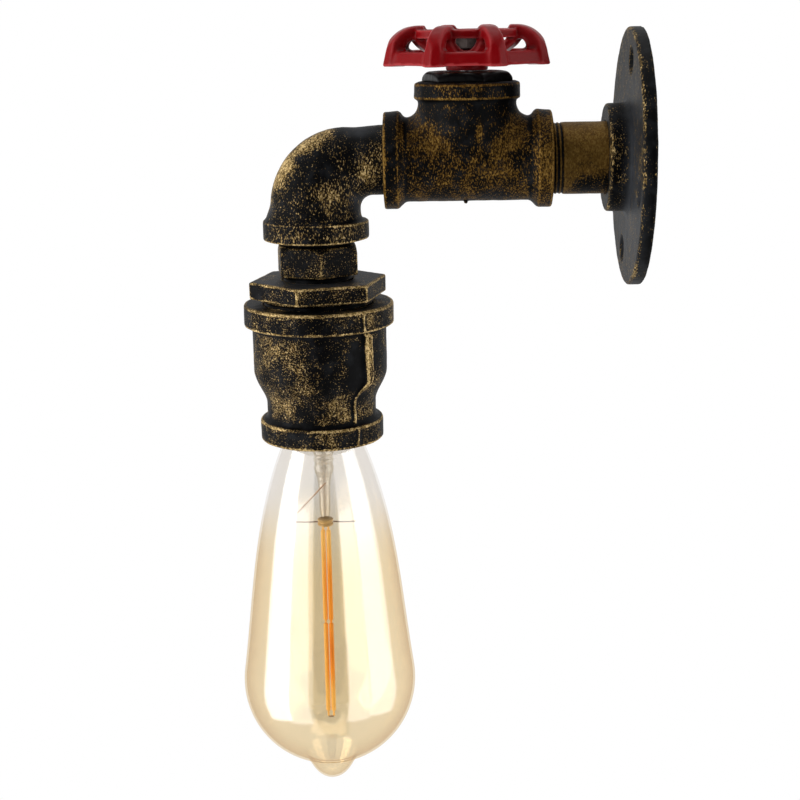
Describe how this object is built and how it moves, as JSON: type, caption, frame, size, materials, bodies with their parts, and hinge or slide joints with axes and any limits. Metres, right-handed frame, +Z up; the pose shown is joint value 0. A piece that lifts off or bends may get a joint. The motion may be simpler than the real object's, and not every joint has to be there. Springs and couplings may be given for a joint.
{
  "type": "pipe wall light",
  "caption": "Wall light built from threaded pipe fittings, with a red handwheel switch on the tee and a pear-shaped lamp hanging from a metal cup.",
  "frame": {"origin": "centre of the flange's back face, on the wall plane", "axes": "+Y into the wall, so the light reaches out along -Y; +Z up, the lamp hangs down along -Z; +X to the right seen from the room's left side"},
  "size_m": [0.095, 0.1563, 0.3012],
  "materials": {
    "antique_iron": "black cast surface dry-brushed with antique gold",
    "black_iron": "black paint, satin",
    "wheel_red": "thick red enamel over casting",
    "steel": "zinc plated",
    "brass": "plain",
    "porcelain": "glazed porcelain",
    "phenolic": "moulded phenolic",
    "white_plastic": "moulded",
    "wire_brown": "insulated wire",
    "wire_red": "insulated wire",
    "wire_blue": "insulated wire",
    "wire_green": "insulated wire",
    "amber_glass": "thin clear glass with an amber tint",
    "clear_glass": "clear glass",
    "black_glass": "black glass plug",
    "solder": "solder",
    "filament": "phosphor coated filament stick"
  },
  "bodies": {
    "root": {"wall_flange": "antique_iron", "wall_nipple": "antique_iron", "tee": "antique_iron", "bonnet": "black_iron", "street_elbow": "antique_iron", "hex_nipple": "antique_iron", "reducing_bush": "antique_iron", "lamp_cup": "antique_iron", "holder_plate": "steel", "hollow_stud": "steel", "stud_nut": "steel", "holder_cap": "porcelain", "holder_body": "porcelain", "screw_shell": "brass", "centre_contact": "brass", "holder_terminals": "brass", "terminal_block": "phenolic", "block_screws": "brass", "earth_screw": "brass", "live_wire": "wire_brown", "switched_wire": "wire_red", "neutral_wire": "wire_blue", "earth_wire": "wire_green", "switch_housing": "phenolic", "switch_base": "phenolic", "switch_contacts": "brass", "switch_ring": "brass"},
    "wheel": {"handwheel": "wheel_red", "valve_stem": "steel", "wheel_washer": "steel", "wheel_nut": "steel", "switch_rotor": "white_plastic"},
    "bulb_carrier": {"cap_contact": "solder"},
    "bulb": {"bulb_glass": "amber_glass", "bulb_cap": "brass", "cap_insulator": "black_glass", "glass_stem": "clear_glass", "support_wires": "steel", "filament": "filament"}
  },
  "joints": [
    {"name": "handwheel_turn", "type": "hinge", "parent": "root", "child": "wheel", "pos_m": [0, -0.06425, 0.0352], "axis": [0, 0, 1], "continuous": true},
    {"name": "bulb_travel", "type": "slide", "parent": "root", "child": "bulb_carrier", "axis": [0, 0, -1], "range_m": [0, 0.02]},
    {"name": "bulb_unscrew", "type": "hinge", "parent": "bulb_carrier", "child": "bulb", "pos_m": [0, -0.1216, -0.1033], "axis": [0, 0, -1], "range_deg": [0, 1980]}
  ],
  "couplings": [
    {"joint": "bulb_travel", "follows": "bulb_unscrew", "m_per_rad": 0.00057296}
  ]
}
